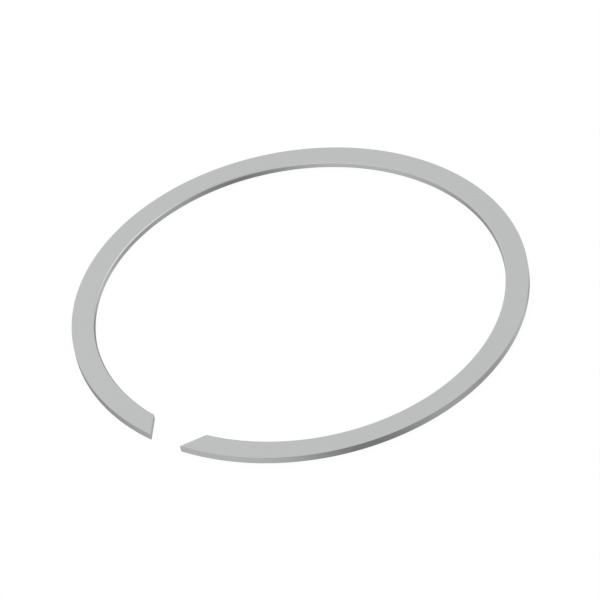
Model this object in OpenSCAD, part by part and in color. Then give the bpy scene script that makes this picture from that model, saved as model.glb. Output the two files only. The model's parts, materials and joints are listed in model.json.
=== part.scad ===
// Concentric retaining ring for a groove in a housing: one flat section, bent round into
// an open circle, with both ends cut on a slant so that the gap widens towards the inside.
// The ring lies flat on z = 0, its axis is Z, and the gap is centred on -Y. Millimetres.

/* [Ring] */
// Outer diameter of the ring as it lies free
outer_d = 120; // [60:1:240]
// Width of the flat section, from the outer rim to the inner rim
section_w = 6.1; // [4:0.1:12]
// Thickness of the flat section
section_t = 2; // [1.2:0.1:4]

/* [Edges] */
// Radius of the two outer edges, which seat in the groove and are almost sharp
seat_edge_r = 0.05; // [0.05:0.05:0.3]
// Radius of the two inner edges, rolled round
inner_edge_r = 0.5; // [0.1:0.05:0.7]
// Radius of the upper and lower edge of each cut end
end_edge_r = 0.45; // [0.1:0.05:0.6]

/* [Ends] */
// Width of the gap between the two tips, straight across at the outer rim
gap_w = 9.1; // [5:0.1:20]
// Slant of each cut, measured from the middle line of the gap
cut_angle = 30; // [10:1:40]
// Radius of each tip, where a cut meets the outer rim
tip_r = 0.1; // [0.05:0.05:0.4]
// Radius of each heel, where a cut meets the inner rim
heel_r = 0.5; // [0.2:0.05:2]

/* [Hidden] */
$fn = 288;

outer_r = outer_d/2;
inner_r = outer_r - section_w;
clear = 1;             // how far the cutting shapes reach past the ring
arc_steps = 8;         // chords in the small roundings of the ends

// Each cut is a plane square to the ring's faces. These place the one on the +X side.
half_gap = gap_w/2;
inward = [cos(cut_angle), -sin(cut_angle)];     // square to the cut, into the metal
outward = [-sin(cut_angle), -cos(cut_angle)];   // along the cut, towards the tip
cut_distance = half_gap*cos(cut_angle) + sqrt(outer_r^2 - half_gap^2)*sin(cut_angle);

// Point at a depth behind the cut plane and at a radius from the ring's axis
function behind_cut(depth, radius) =
    (cut_distance + depth)*inward + sqrt(radius^2 - (cut_distance + depth)^2)*outward;

function direction(v) = atan2(v.y, v.x);

// Points of an arc from one angle to another
function arc(centre, radius, from, to) =
    [for (i = [0:arc_steps]) let (a = from + (to - from)*i/arc_steps)
        centre + radius*[cos(a), sin(a)]];

tip_centre = behind_cut(tip_r, outer_r - tip_r);
heel_centre = behind_cut(heel_r, inner_r + heel_r);
cut_facing = 180 - cut_angle;                   // the way the +X end looks into the gap
tip_arc = arc(tip_centre, tip_r, 360 + direction(tip_centre), cut_facing);
heel_arc = arc(heel_centre, heel_r, cut_facing, 180 + direction(heel_centre));

// Section of the ring, on the X side of the axis, with its four rounded edges
module section() {
    difference() {
        translate([inner_r, 0]) square([section_w, section_t]);
        for (level = [0, 1]) translate([0, level*section_t]) mirror([0, level]) {
            translate([outer_r, 0]) mirror([1, 0]) edge_waste(seat_edge_r);
            translate([inner_r, 0]) edge_waste(inner_edge_r);
        }
    }
}

// What an edge radius takes off a corner at the origin
module edge_waste(radius) {
    difference() {
        translate([-clear, -clear]) square(clear + radius);
        translate([radius, radius]) circle(radius);
        translate([-clear, radius]) square([clear + radius, clear]);
        translate([radius, -clear]) square([clear, clear + radius]);
    }
}

// Plan of the gap, as one outline from the +X side round to the -X side
module gap_plan() {
    tip_start = tip_arc[0];
    heel_end = heel_arc[arc_steps];
    side = concat(
        [[tip_start.x, -outer_r - clear]],
        tip_arc,
        heel_arc,
        [heel_end*(inner_r - clear)/inner_r]);
    other_side = [for (i = [len(side) - 1:-1:0]) [-side[i].x, side[i].y]];
    polygon(concat(side, other_side));
}

// Rounds the upper edge of the +X end, along the cut
module end_edge_waste() {
    rim = arc([cut_distance + end_edge_r, -end_edge_r], end_edge_r, 180, 90);
    from = sqrt(inner_r^2 - cut_distance^2) - clear;
    to = sqrt(outer_r^2 - cut_distance^2) + clear;
    rotate([90, 0, -cut_angle]) translate([0, 0, from]) linear_extrude(to - from)
        polygon(concat(rim, [
            [cut_distance + end_edge_r, clear],
            [cut_distance - clear, clear],
            [cut_distance - clear, -end_edge_r]]));
}

// All that is taken out of the full circle: the gap, and the edges of both ends
module gap_cut() {
    translate([0, 0, -clear]) linear_extrude(section_t + 2*clear) gap_plan();
    for (side = [0, 1]) mirror([side, 0, 0]) {
        translate([0, 0, section_t]) end_edge_waste();
        mirror([0, 0, 1]) end_edge_waste();
    }
}

module retaining_ring() {
    color("#BEC1BF") difference() {
        rotate_extrude() section();
        gap_cut();
    }
}

retaining_ring();
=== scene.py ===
# %% [markdown]
# A flat retaining ring of spring steel
#
# The real ring is one length of flat wire. A coiler bends it edgewise into an open circle, a
# blade shears both ends on a slant, and a tumbling drum takes the sharp feeling off the cuts.
# Nothing is welded, plated or screwed on, so the whole piece is one solid in one material.
#
# The lesson has four steps: the frame, the ring, its steel, and the studio with its camera.
# All lengths are in metres, because Blender's unit is the metre.

# %% Load the fixed frame
import json
import math

import bpy
from mathutils import Matrix, Vector


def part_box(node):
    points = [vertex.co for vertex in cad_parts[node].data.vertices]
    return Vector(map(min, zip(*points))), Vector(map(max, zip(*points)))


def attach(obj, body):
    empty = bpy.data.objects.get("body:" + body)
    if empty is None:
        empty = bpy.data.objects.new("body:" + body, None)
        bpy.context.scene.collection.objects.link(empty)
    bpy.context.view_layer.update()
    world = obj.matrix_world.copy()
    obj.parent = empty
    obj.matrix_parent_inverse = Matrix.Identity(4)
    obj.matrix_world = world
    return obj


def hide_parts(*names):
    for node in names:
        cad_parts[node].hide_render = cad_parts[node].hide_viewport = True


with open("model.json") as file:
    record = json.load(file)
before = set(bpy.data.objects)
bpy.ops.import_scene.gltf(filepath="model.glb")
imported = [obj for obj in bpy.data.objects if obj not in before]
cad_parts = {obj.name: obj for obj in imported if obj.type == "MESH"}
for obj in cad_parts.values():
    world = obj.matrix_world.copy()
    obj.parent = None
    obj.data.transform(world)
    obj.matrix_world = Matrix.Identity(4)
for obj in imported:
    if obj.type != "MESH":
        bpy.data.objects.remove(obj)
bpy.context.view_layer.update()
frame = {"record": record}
mm = 0.001

# %% [markdown]
# The frame already knows the main sizes. The rims of the ring are mounts, so their radii are
# read from the record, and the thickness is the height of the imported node. Only what belongs
# to the edges and the two cut ends is written here as a value of its own.

# %% Read the main sizes from the frame
mounts = {mount["name"]: mount for mount in frame["record"]["mounts"]}
outer_radius = mounts["outer_rim"]["dims"]["r_mm"] * mm
inner_radius = mounts["inner_rim"]["dims"]["r_mm"] * mm
lowest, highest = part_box("retaining_ring")
thickness = highest.z - lowest.z
print(f"Rims {outer_radius / mm:.2f} and {inner_radius / mm:.2f} mm")
print(f"Thickness {thickness / mm:.2f} mm")

# %% Name the sizes of the edges and ends
seat_edge_radius = 0.05 * mm     # outer edges, nearly sharp, because they bear on the groove
inner_edge_radius = 0.5 * mm     # inner edges, rolled round
end_edge_radius = 0.45 * mm      # upper and lower edges of each cut
gap_width = 9.1 * mm             # from tip to tip, straight across
cut_angle = math.radians(30)     # slant of each cut, from the middle line of the gap
tip_radius = 0.1 * mm            # where a cut meets the outer rim
heel_radius = 0.5 * mm           # where a cut meets the inner rim
print(f"Gap {gap_width / mm:.1f} mm, cuts at {math.degrees(cut_angle):.0f} degrees")

# %% [markdown]
# Node trees are drawn as boxes and wires, but a script that wires every Math node by hand is
# hard to read. A small class lets the arithmetic be written as plain formulas. Each sign adds
# one Math node to the tree, and the result stands for the output of that node. Math nodes are
# the same in geometry, material and world trees, so one class serves all three.

# %% Write arithmetic as nodes
class Term:
    """A number that flows through a node tree."""

    def __init__(self, tree, socket):
        self.tree = tree
        self.socket = socket


def feed(tree, value, socket):
    """Plugs a term or a plain number into an input."""
    if isinstance(value, Term):
        tree.links.new(value.socket, socket)
    else:
        socket.default_value = value


def calculate(operation, *values):
    """Adds one Math node and gives its result."""
    tree = next(value.tree for value in values if isinstance(value, Term))
    node = tree.nodes.new("ShaderNodeMath")
    node.operation = operation
    for value, socket in zip(values, node.inputs):
        feed(tree, value, socket)
    return Term(tree, node.outputs[0])


Term.__add__ = lambda a, b: calculate("ADD", a, b)
Term.__radd__ = lambda a, b: calculate("ADD", b, a)
Term.__sub__ = lambda a, b: calculate("SUBTRACT", a, b)
Term.__rsub__ = lambda a, b: calculate("SUBTRACT", b, a)
Term.__mul__ = lambda a, b: calculate("MULTIPLY", a, b)
Term.__rmul__ = lambda a, b: calculate("MULTIPLY", b, a)
Term.__truediv__ = lambda a, b: calculate("DIVIDE", a, b)
Term.__neg__ = lambda a: calculate("MULTIPLY", a, -1.0)
print("Terms understand + - * and /")

# %% Name the functions that the formulas use
def root(value):
    return calculate("SQRT", value)


def sine(value):
    return calculate("SINE", value)


def cosine(value):
    return calculate("COSINE", value)


def least(a, b):
    return calculate("MINIMUM", a, b)


def greatest(a, b):
    return calculate("MAXIMUM", a, b)


def between_0_and_1(value):
    return least(greatest(value, 0.0), 1.0)


def below(a, b):
    """1 where a is below b, and 0 elsewhere."""
    return calculate("LESS_THAN", a, b)


def blend(a, b, share):
    """a where the share is 0, b where it is 1."""
    return share * (b - a) + a


def hypotenuse(a, b):
    return root(a * a + b * b)


print("Functions are ready")

# %% [markdown]
# The ring
#
# It could be a bent bar cut by two Boolean blocks, but a Boolean leaves ragged faces just
# where the skill of the real ring lies, at its ends. Here a plain grid is bent instead. Its
# rows are sections of the ring, called stations, and its columns are places round the section.
# The shape is the same above and below the middle height and on both sides of the gap, so the
# grid covers one quarter of the skin, and mirrored copies make the rest.
#
# Near an end the stations are cuts parallel to the sheared face, close together, so that the
# tip, the heel and the rounded edges keep their true arcs. Behind them, the stations turn
# little by little until the last one lies on the ring's middle line.

# %% Start the tree and give it named inputs
def report(tree, step):
    """Prints how many nodes a tree has after a step."""
    print(f"{step}: {len(tree.nodes)} nodes")


ring_tree = bpy.data.node_groups.new("Flat ring bent from wire", "GeometryNodeTree")
ring_sizes = {
    "Outer Radius": outer_radius,
    "Inner Radius": inner_radius,
    "Thickness": thickness,
    "Seat Edge Radius": seat_edge_radius,
    "Inner Edge Radius": inner_edge_radius,
    "End Edge Radius": end_edge_radius,
    "Gap Width": gap_width,
    "Cut Angle": cut_angle,
    "Tip Radius": tip_radius,
    "Heel Radius": heel_radius,
}
ring_counts = {"End Stations": 18, "Bend Stations": 220, "Edge Steps": 8}
for name in ring_sizes:
    ring_tree.interface.new_socket(name, in_out="INPUT", socket_type="NodeSocketFloat")
for name in ring_counts:
    ring_tree.interface.new_socket(name, in_out="INPUT", socket_type="NodeSocketInt")
ring_tree.interface.new_socket("Steel", in_out="INPUT", socket_type="NodeSocketMaterial")
ring_tree.interface.new_socket("Ring", in_out="OUTPUT", socket_type="NodeSocketGeometry")
given = ring_tree.nodes.new("NodeGroupInput")
size = {name: Term(ring_tree, given.outputs[name]) for name in (*ring_sizes, *ring_counts)}
print("The tree has", len(ring_sizes) + len(ring_counts) + 1, "inputs")
report(ring_tree, "Inputs")

# %% [markdown]
# A cut is a plane square to the faces. Its distance from the ring's axis follows from the gap
# and the slant. The tip is an arc inside the outer rim, and the heel is an arc outside the
# inner rim. Each touches the cut plane and its rim, which fixes the arc's centre and the depth
# behind the cut at which the arc ends.

# %% Place the cut, the tip arc and the heel arc
outer = size["Outer Radius"]
inner = size["Inner Radius"]
slant = size["Cut Angle"]
tip = size["Tip Radius"]
heel = size["Heel Radius"]
half_gap = size["Gap Width"] * 0.5
tip_reach = root(outer * outer - half_gap * half_gap)
cut_distance = half_gap * cosine(slant) + tip_reach * sine(slant)


def along_cut(radius, depth):
    """How far a circle of this radius is along a plane at this depth behind the cut."""
    distance = cut_distance + depth
    return root(radius * radius - distance * distance)


tip_centre = along_cut(outer - tip, tip)
heel_centre = along_cut(inner + heel, heel)
tip_depth = (cut_distance + tip) * outer / (outer - tip) - cut_distance
heel_depth = (cut_distance + heel) * inner / (inner + heel) - cut_distance
report(ring_tree, "Cut, tip and heel")

# %% [markdown]
# Every point of the grid knows only its index. Dividing it by the number of places gives the
# station, and the remainder gives the place round the section. Each half of the section has
# two places on its wall, one more place than steps round its edge, and one on the face.

# %% Lay out the grid
arc_start = 2.0          # places on the wall, before the edge begins to turn
cap_stations = 2.0       # stations that close the sheared face
edge_steps = size["Edge Steps"]
half_places = edge_steps + arc_start + 2.0
places = half_places * 2.0
first_bend = size["End Stations"] + cap_stations
stations = first_bend + size["Bend Stations"] + 1.0
grid = ring_tree.nodes.new("GeometryNodeMeshGrid")
feed(ring_tree, stations, grid.inputs["Vertices X"])
feed(ring_tree, places, grid.inputs["Vertices Y"])
index = Term(ring_tree, ring_tree.nodes.new("GeometryNodeInputIndex").outputs[0])
station = calculate("FLOOR", (index + 0.5) / places)
place = index - station * places
report(ring_tree, "Grid")

# %% [markdown]
# The first two stations close the sheared face: they are its outline drawn in evenly from all
# sides, until its two long edges meet at the middle height. The next ones go back from the face
# by equal steps of angle, which puts them closest where the arcs turn fastest. `shave` is how
# much the rounded end edge takes off the height at that depth.

# %% Work out the depth and height of each station
quarter_turn = math.pi / 2
cap_rim = 0.94           # how wide the second station opens, where 1 is the outline itself
spare_depth = 1.15       # how far the close stations reach, where 1 is the end of the last arc
end_edge = size["End Edge Radius"]
cap_opening = least(station * cap_rim, 1.0)
end_turn = between_0_and_1((station - cap_stations) / size["End Stations"])
bend_turn = between_0_and_1((station - first_bend) / size["Bend Stations"])
end_zone = greatest(greatest(tip_depth, heel_depth), end_edge) * spare_depth
depth = end_zone * (1.0 - cosine(end_turn * quarter_turn))
edge_left = greatest(end_edge - depth, 0.0)
shave = end_edge - root(end_edge * end_edge - edge_left * edge_left)
report(ring_tree, "Stations")

# %% [markdown]
# Close behind the cut, the rims follow the tip and heel arcs, and further back they are the
# plain circles. Past its arc a root would be of a negative number, for which a Math node gives
# 0, so no point is lost there.

# %% Find the rims at each station
distance = cut_distance + depth
tip_run = tip_centre + root(tip * tip - (depth - tip) * (depth - tip))
heel_run = heel_centre - root(heel * heel - (depth - heel) * (depth - heel))
outer_rim = blend(outer, hypotenuse(distance, tip_run), below(depth, tip_depth))
inner_rim = blend(inner, hypotenuse(distance, heel_run), below(depth, heel_depth))
report(ring_tree, "Rims")

# %% [markdown]
# One half of the section runs from the middle of the inner wall, up round the inner edge,
# across the face, round the outer edge and down to the middle of the outer wall. Counting the
# places from the nearer wall lets one formula serve both edges. A support point stands close
# to each end of an edge arc, so that smooth shading rounds the edges and leaves the faces flat.

# %% Draw the section
support = 0.04 * mm
outer_half = 1.0 - below(place, half_places)
step = blend(place, places - 1.0 - place, outer_half)
edge_turn = between_0_and_1((step - arc_start) / edge_steps)
full_edge = blend(size["Inner Edge Radius"], size["Seat Edge Radius"], outer_half)
edge = full_edge * (1.0 - shave / end_edge)
on_face = 1.0 - below(step, edge_steps + (arc_start + 0.5))
on_wall = below(step, arc_start - 0.5)
from_wall = edge * (1.0 - cosine(edge_turn * quarter_turn)) + on_face * support
from_top = edge * (1.0 - sine(edge_turn * quarter_turn)) + on_wall * support
half_height = size["Thickness"] * 0.5
top = half_height - shave
drawn_in = top * (1.0 - cap_opening)
radius = blend(inner_rim + from_wall + drawn_in, outer_rim - from_wall - drawn_in, outer_half)
height = (top - from_top) * least(step, 1.0) * cap_opening
report(ring_tree, "Section")

# %% [markdown]
# A point's place is now known as a radius, a height and a turn round the axis. At the end the
# turn is the one at which that radius meets the cut, and from there it grows evenly to half a
# circle. Set Position moves the flat grid's points there. Each node of the chain that follows
# takes its geometry in at its first input and gives it out at its first output.

# %% Bend the section round and set the points
def follow(geometry, kind):
    """Adds a node that works on some geometry, and gives the node."""
    node = ring_tree.nodes.new(kind)
    ring_tree.links.new(geometry, node.inputs[0])
    return node


cut_turn = calculate("ARCSINE", distance / radius) - slant
turn = blend(cut_turn, math.pi, bend_turn)
spot = ring_tree.nodes.new("ShaderNodeCombineXYZ")
feed(ring_tree, radius * sine(turn), spot.inputs["X"])
feed(ring_tree, -radius * cosine(turn), spot.inputs["Y"])
feed(ring_tree, height, spot.inputs["Z"])
bent = follow(grid.outputs["Mesh"], "GeometryNodeSetPosition")
ring_tree.links.new(spot.outputs["Vector"], bent.inputs["Position"])
outward = follow(bent.outputs[0], "GeometryNodeFlipFaces")
report(ring_tree, "Bend")

# %% [markdown]
# Two marks are kept on the points for the material: how much a point belongs to a sheared end,
# and how much it lies on a rounded edge. They travel with the mesh, so the finish follows the
# shape and not some place in space.

# %% Keep the marks for the material
def mark(geometry, name, value):
    """Stores a number on every point and gives the geometry that carries it."""
    store = follow(geometry, "GeometryNodeStoreNamedAttribute")
    store.data_type = "FLOAT"
    store.domain = "POINT"
    store.inputs["Name"].default_value = name
    feed(ring_tree, value, store.inputs["Value"])
    return store.outputs[0]


def hump(share):
    """0 at both ends of a stretch and 1 halfway."""
    return share * (1.0 - share) * 4.0


sheared = between_0_and_1(edge_left / end_edge)
rounded = greatest(hump(edge_turn), hump(sheared))
quarter = mark(outward.outputs[0], "sheared", sheared)
quarter = mark(quarter, "rounded", rounded)
report(ring_tree, "Marks")

# %% [markdown]
# A mirrored copy has its faces inside out, because its corners now run the other way round.
# Flip Faces turns them back before the two are joined.

# %% Mirror the quarter
def mirrored_pair(geometry, scale):
    """The geometry and its mirror image, joined."""
    mirror = follow(geometry, "GeometryNodeTransform")
    mirror.inputs["Scale"].default_value = scale
    turned = follow(mirror.outputs[0], "GeometryNodeFlipFaces")
    pair = follow(turned.outputs[0], "GeometryNodeJoinGeometry")
    ring_tree.links.new(geometry, pair.inputs[0])
    return pair.outputs[0]


half = mirrored_pair(quarter, (1, 1, -1))
whole = mirrored_pair(half, (-1, 1, 1))
report(ring_tree, "Four quarters")

# %% [markdown]
# The quarters each have points of their own along the seams. Merging those that lie together
# makes one closed solid, which is then raised until its lower face is at height 0. The tree
# ends in Realize Instances and Set Material, because an export drops what is only an instance.

# %% Close the solid and give it its steel
seam_distance = 0.0002 * mm
merged = follow(whole, "GeometryNodeMergeByDistance")
merged.inputs["Distance"].default_value = seam_distance
raised = follow(merged.outputs[0], "GeometryNodeTransform")
raised_by = ring_tree.nodes.new("ShaderNodeCombineXYZ")
feed(ring_tree, half_height, raised_by.inputs["Z"])
ring_tree.links.new(raised_by.outputs["Vector"], raised.inputs["Translation"])
smooth = follow(raised.outputs[0], "GeometryNodeSetShadeSmooth")
real = follow(smooth.outputs[0], "GeometryNodeRealizeInstances")
painted = follow(real.outputs[0], "GeometryNodeSetMaterial")
ring_tree.links.new(given.outputs["Steel"], painted.inputs["Material"])
follow(painted.outputs[0], "NodeGroupOutput")
report(ring_tree, "Whole ring")

# %% [markdown]
# The steel
#
# The surface is bare metal, so its colour is the colour of its reflection. A metal needs no
# diffuse paint: metallic is 1, and the base colour is the light grey of the finish. The detail
# is fine. The rolls that flattened the wire left long faint lines that run round the ring, and
# the tumbling left a soft mottle. The sheared ends carry short lines across the thickness, and
# the rounded edges are rubbed a little smoother than the faces.

# %% Start the material
steel = bpy.data.materials.new("Spring steel")
steel.use_nodes = True
steel_tree = steel.node_tree
shader = steel_tree.nodes["Principled BSDF"]
shader.inputs["Metallic"].default_value = 1.0
point = steel_tree.nodes.new("ShaderNodeTexCoord")
axes = steel_tree.nodes.new("ShaderNodeSeparateXYZ")
steel_tree.links.new(point.outputs["Object"], axes.inputs["Vector"])
x, y, z = (Term(steel_tree, axes.outputs[axis]) for axis in "XYZ")
middle_radius = 0.5 * (outer_radius + inner_radius)
from_axis = hypotenuse(x, y)
way_round = calculate("ARCTAN2", x, y) * middle_radius


def marked(name):
    """Reads a mark that the geometry left on the points."""
    reader = steel_tree.nodes.new("ShaderNodeAttribute")
    reader.attribute_name = name
    return Term(steel_tree, reader.outputs["Fac"])


cut = marked("sheared")
rubbed = marked("rounded")
report(steel_tree, "Steel, its places and marks")

# %% [markdown]
# A picture of brushed steel would have to be wrapped round the ring, with a seam somewhere.
# Noise fills all of space instead, and a grain takes any shape when its coordinates are
# divided by its length, width and height. The rolling lines use the way round the ring as
# their length, so they bend with it, and their seam falls in the gap.

# %% Make the patterns
def noise(along, across, up, detail=2.0):
    """Noise whose grains have the three given sizes. It runs from 0 to 1."""
    spread = steel_tree.nodes.new("ShaderNodeCombineXYZ")
    feed(steel_tree, along, spread.inputs["X"])
    feed(steel_tree, across, spread.inputs["Y"])
    feed(steel_tree, up, spread.inputs["Z"])
    texture = steel_tree.nodes.new("ShaderNodeTexNoise")
    texture.inputs["Scale"].default_value = 1.0
    texture.inputs["Detail"].default_value = detail
    steel_tree.links.new(spread.outputs["Vector"], texture.inputs["Vector"])
    return Term(steel_tree, texture.outputs["Fac"])


line_length = 14 * mm
line_width = 0.16 * mm
mottle_size = 1.3 * mm
shear_width = 0.12 * mm
shear_length = 1.6 * mm
rolling = noise(way_round / line_length, from_axis / line_width, z / line_width)
mottle = noise(x / mottle_size, y / mottle_size, z / mottle_size, detail=3.0)
shearing = noise(x / shear_width, y / shear_width, z / shear_length)
lines = blend(rolling, shearing, cut)
mottle_swing = mottle - 0.5
line_swing = lines - 0.5
report(steel_tree, "Patterns")

# %% Set the colour
steel_colour = (0.515, 0.527, 0.521)
mottle_tone = 0.03
line_tone = 0.02
tone = 1.0 + mottle_swing * mottle_tone + line_swing * line_tone
colour = steel_tree.nodes.new("ShaderNodeCombineColor")
for channel, level in zip(("Red", "Green", "Blue"), steel_colour):
    feed(steel_tree, tone * level, colour.inputs[channel])
steel_tree.links.new(colour.outputs["Color"], shader.inputs["Base Color"])
report(steel_tree, "Colour")

# %% Set the gloss and the relief
satin = 0.28             # roughness of the plain faces
mottle_dulls = 0.10
lines_dull = 0.08
shearing_dulls = 0.08
rubbing_polishes = 0.06
dulling = mottle_swing * mottle_dulls + line_swing * lines_dull + cut * shearing_dulls
feed(steel_tree, satin + (dulling - rubbed * rubbing_polishes), shader.inputs["Roughness"])

line_relief = 0.7
mottle_relief = 0.6
relief = steel_tree.nodes.new("ShaderNodeBump")
relief.inputs["Strength"].default_value = 0.2
relief.inputs["Distance"].default_value = 0.006 * mm
feed(steel_tree, lines * line_relief + mottle * mottle_relief, relief.inputs["Height"])
steel_tree.links.new(relief.outputs["Normal"], shader.inputs["Normal"])
report(steel_tree, "Gloss and relief")

# %% [markdown]
# The tree becomes a mesh only when an object uses it. The inputs are set by their identifiers
# before the first evaluation. The evaluated result is then copied into a plain mesh, so the
# finished ring carries no modifier, and the object that carried the tree is thrown away.

# %% Make the ring
carrier_mesh = bpy.data.meshes.new("carrier")
carrier = bpy.data.objects.new("carrier", carrier_mesh)
bpy.context.scene.collection.objects.link(carrier)
modifier = carrier.modifiers.new("Ring", "NODES")
modifier.node_group = ring_tree
values = {**ring_sizes, **ring_counts, "Steel": steel}
for item in ring_tree.interface.items_tree:
    if item.in_out == "INPUT":
        modifier[item.identifier] = values[item.name]
graph = bpy.context.evaluated_depsgraph_get()
ring_mesh = bpy.data.meshes.new_from_object(carrier.evaluated_get(graph), depsgraph=graph)
bpy.data.objects.remove(carrier)
bpy.data.meshes.remove(carrier_mesh)
ring = bpy.data.objects.new("bent_flat_ring", ring_mesh)
bpy.context.scene.collection.objects.link(ring)
print("The ring has", len(ring_mesh.vertices), "points and", len(ring_mesh.polygons), "faces")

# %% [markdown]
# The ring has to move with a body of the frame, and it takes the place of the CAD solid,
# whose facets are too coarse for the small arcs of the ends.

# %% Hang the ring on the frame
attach(ring, "root")
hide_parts("retaining_ring")
print(ring.name, "rides on root")

# %% [markdown]
# The studio
#
# Bare metal shows only what it reflects, so the studio matters as much as the steel. The ring
# lies on a pale floor. Plain white paint would be only as white as the light on it, so the
# camera sees the floor mostly as a surface that glows with strength 1. The rest is paint, on
# which the ring's faint shadow falls. The ring doesn't mirror the floor, because the world has
# an underside for that.

# %% Lay the floor
floor_half_side = 4.0
floor_level = -0.02 * mm
floor_corners = [
    (-floor_half_side, -floor_half_side, floor_level),
    (floor_half_side, -floor_half_side, floor_level),
    (floor_half_side, floor_half_side, floor_level),
    (-floor_half_side, floor_half_side, floor_level),
]
floor_mesh = bpy.data.meshes.new("floor")
floor_mesh.from_pydata(floor_corners, [], [(0, 1, 2, 3)])
floor = bpy.data.objects.new("floor", floor_mesh)
floor.visible_glossy = False
bpy.context.scene.collection.objects.link(floor)
print(f"The floor is {2 * floor_half_side:.0f} m wide")

# %% Keep the floor white and its shadow faint
glow_for_camera = 0.93
floor_white = bpy.data.materials.new("White floor")
floor_white.use_nodes = True
floor_mesh.materials.append(floor_white)
floor_tree = floor_white.node_tree
paint = floor_tree.nodes["Principled BSDF"]
paint.inputs["Base Color"].default_value = (0.8, 0.8, 0.8, 1)
paint.inputs["Roughness"].default_value = 1.0
paint.inputs["Specular IOR Level"].default_value = 0.0
glow = floor_tree.nodes.new("ShaderNodeEmission")
seen = floor_tree.nodes.new("ShaderNodeLightPath")
mix = floor_tree.nodes.new("ShaderNodeMixShader")
glow_share = Term(floor_tree, seen.outputs["Is Camera Ray"]) * glow_for_camera
feed(floor_tree, glow_share, mix.inputs["Fac"])
floor_tree.links.new(paint.outputs["BSDF"], mix.inputs[1])
floor_tree.links.new(glow.outputs["Emission"], mix.inputs[2])
surface = floor_tree.nodes["Material Output"].inputs["Surface"]
floor_tree.links.new(mix.outputs["Shader"], surface)
report(floor_tree, "Floor")

# %% [markdown]
# The world is the rest of the studio. The faces of the ring look up at a white sky. Its walls
# look down, at a grey underside with four darker cards in it, which gives the thin walls their
# slow change from light to dark. Between the two stand three dim far walls, a lighter doorway
# and a window, which show in the rounded edges. A photograph of a real studio could do all of
# this, but a few soft patches are enough, and each is moved by changing one number.
#
# A bearing is counted in degrees from the X axis towards the Y axis. A height is how much of a
# direction points up: -1 is straight down, 0 is level and 1 is straight up.

# %% Describe a direction and a patch of light
world = bpy.data.worlds.new("Studio")
bpy.context.scene.world = world
world.use_nodes = True
world_tree = world.node_tree
looking = world_tree.nodes.new("ShaderNodeTexCoord")
parts = world_tree.nodes.new("ShaderNodeSeparateXYZ")
world_tree.links.new(looking.outputs["Generated"], parts.inputs["Vector"])
east, north, up = (Term(world_tree, parts.outputs[axis]) for axis in "XYZ")
least_level_run = 0.001          # keeps the division safe straight up and straight down
level_run = greatest(hypotenuse(east, north), least_level_run)


def smooth_step(value, start, end):
    """0 up to the start, 1 from the end, and a smooth rise between."""
    node = world_tree.nodes.new("ShaderNodeMapRange")
    node.interpolation_type = "SMOOTHSTEP"
    feed(world_tree, value, node.inputs["Value"])
    node.inputs["From Min"].default_value = start
    node.inputs["From Max"].default_value = end
    return Term(world_tree, node.outputs["Result"])


def towards(bearing):
    """How far a direction points to a bearing."""
    turned = math.radians(bearing)
    return east * math.cos(turned) + north * math.sin(turned)


def patch(bearing, core, fade, strength):
    """A patch round a bearing: even out to its core, then fading away, all in degrees."""
    off = calculate("ARCCOSINE", towards(bearing) / level_run)
    outside = smooth_step(off, math.radians(core), math.radians(core + fade))
    return (1.0 - outside) * strength


report(world_tree, "Direction")

# %% Hang the cards in the underside
underside = 0.825 - patch(bearing=333, core=0, fade=60, strength=0.54)
underside = underside - patch(bearing=46, core=3, fade=36, strength=0.32)
underside = underside - patch(bearing=163, core=0, fade=81, strength=0.43)
underside = underside - patch(bearing=124, core=17, fade=10, strength=0.47)
report(world_tree, "Underside")

# %% Spread the sky
right_sky = 0.925
left_sky = 1.06
to_the_left = smooth_step(towards(222), -0.25, 0.25)
sky = blend(right_sky, left_sky, to_the_left)
sky = sky - patch(bearing=232, core=38, fade=48, strength=0.07)
report(world_tree, "Sky")

# %% Stand the far walls, the doorway and the window between them
above_walls = smooth_step(up, 0.05, 0.4)
above_sill = smooth_step(up, 0.07, 0.4)
above_window = smooth_step(up, 0.7, 0.85)
above_underside = smooth_step(up, -0.59, -0.355)
far_walls = patch(bearing=193, core=11, fade=56, strength=0.27)
far_walls = far_walls + patch(bearing=97, core=7, fade=15, strength=0.72)
far_walls = far_walls + patch(bearing=336, core=11, fade=30, strength=0.40)
doorway = patch(bearing=290, core=18, fade=24, strength=0.20)
window = patch(bearing=45, core=17, fade=33, strength=0.64)
window = window * above_sill * (1.0 - above_window)
upper = sky + window - (far_walls - doorway) * (1.0 - above_walls)
studio = blend(underside, upper, above_underside)
report(world_tree, "Studio")

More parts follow.
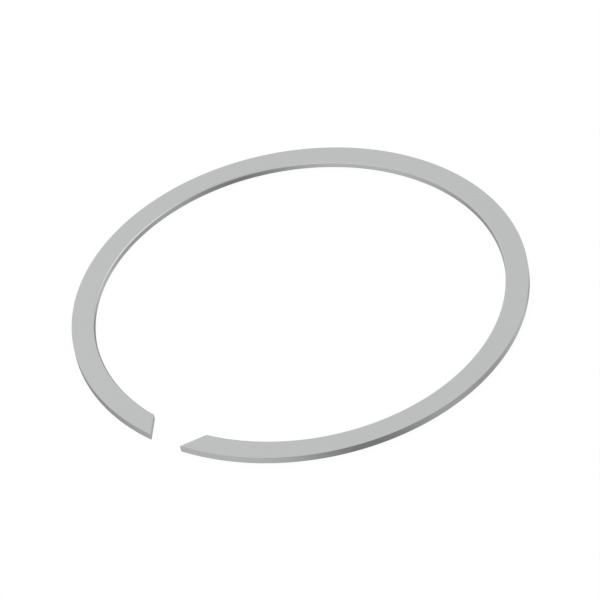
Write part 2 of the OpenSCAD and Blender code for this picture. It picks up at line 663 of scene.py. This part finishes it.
# %% Show the studio to the metal and plain white to the camera
ray = world_tree.nodes.new("ShaderNodeLightPath")
is_glossy = Term(world_tree, ray.outputs["Is Glossy Ray"])
is_transmitted = Term(world_tree, ray.outputs["Is Transmission Ray"])
backdrop = world_tree.nodes["Background"]
strength = blend(1.0, studio, greatest(is_glossy, is_transmitted))
feed(world_tree, strength, backdrop.inputs["Strength"])
backdrop.inputs["Color"].default_value = (1, 1, 1, 1)
report(world_tree, "World")

# %% [markdown]
# One large soft lamp high above the ring casts its faint shadow on the floor. The metal doesn't
# mirror it, because it would leave a bright spot that moves with every new view.

# %% Hang one soft lamp
lamp_data = bpy.data.lights.new("Soft box", "AREA")
lamp_data.shape = "DISK"
lamp_data.size = 1.2
lamp_data.energy = 8
lamp = bpy.data.objects.new("Soft box", lamp_data)
lamp.location = (-0.4, 0.3, 1.4)
lamp.rotation_euler = (Vector((0, 0, 0)) - lamp.location).to_track_quat("-Z", "Y").to_euler()
lamp.visible_glossy = False
bpy.context.scene.collection.objects.link(lamp)
print(f"The lamp hangs {lamp.location.z:.1f} m up")

# %% [markdown]
# The camera stands far off with a long lens, which is why the ring shows almost no
# perspective. It is placed by what it looks at, how far round and how high it stands, and how
# much it leans.

# %% Say where the camera stands
camera_bearing = math.radians(42.155)
camera_height = math.radians(41.038)
camera_lean = math.radians(-10.847)
camera_distance = 1.2755
look_at = Vector((-0.286, 0.407, 0.568)) * mm

# Directions of the camera before it leans
backward = Vector((
    math.sin(camera_bearing) * math.cos(camera_height),
    -math.cos(camera_bearing) * math.cos(camera_height),
    math.sin(camera_height)))
rightward = Vector((math.cos(camera_bearing), math.sin(camera_bearing), 0))
upright = Matrix((rightward, backward.cross(rightward), backward)).transposed()
lean = Matrix.Rotation(camera_lean, 3, "Z")
print(f"The camera stands {camera_distance:.2f} m from the ring")

# %% Set up the camera
camera_data = bpy.data.cameras.new("Camera")
camera_data.sensor_width = 36
camera_data.lens = 294.2
camera_data.clip_end = 100
camera = bpy.data.objects.new("Camera", camera_data)
stand = Matrix.Translation(look_at + backward * camera_distance)
camera.matrix_world = stand @ (upright @ lean).to_4x4()
bpy.context.scene.collection.objects.link(camera)
bpy.context.scene.camera = camera
bpy.context.scene.view_settings.view_transform = "Standard"
print(f"The lens is {camera_data.lens:.0f} mm long")
